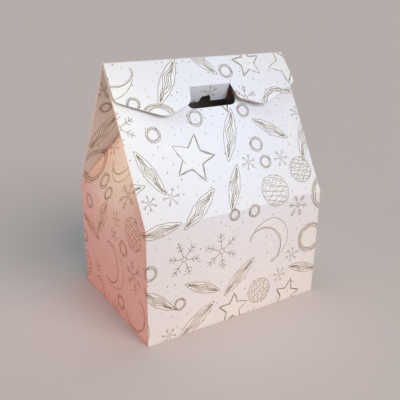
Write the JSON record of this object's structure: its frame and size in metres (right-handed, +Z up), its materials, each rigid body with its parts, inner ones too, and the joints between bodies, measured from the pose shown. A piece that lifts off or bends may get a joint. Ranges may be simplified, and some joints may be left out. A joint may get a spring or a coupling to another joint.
{
  "type": "gift box with handle",
  "caption": "Folded card gift carton with gusseted ends, a hand hole near its ridge, and a hinged closing flap whose tongue locks through the hole.",
  "frame": {"origin": "centre of the base's footprint, on the ground", "axes": "+X to the right along the ridge, -Y towards the front with the closing flap, +Z up"},
  "size_m": [0.24, 0.18, 0.2958],
  "materials": {
    "carton_card": "coated white card, satin",
    "flap_card": "coated white card, satin",
    "tongue_card": "coated white card, satin"
  },
  "bodies": {
    "carton": {"carton": "carton_card"},
    "closing_flap": {"closing_flap": "flap_card"},
    "locking_tongue": {"locking_tongue": "tongue_card"}
  },
  "joints": [
    {"name": "flap_hinge", "type": "hinge", "parent": "carton", "child": "closing_flap", "pos_m": [0, 0, 0.296], "axis": [-1, 0, 0], "range_deg": [0, 150]},
    {"name": "tongue_hinge", "type": "hinge", "parent": "closing_flap", "child": "locking_tongue", "pos_m": [0, -0.02124, 0.26755], "axis": [-1, 0, 0], "range_deg": [-10, 66]}
  ]
}
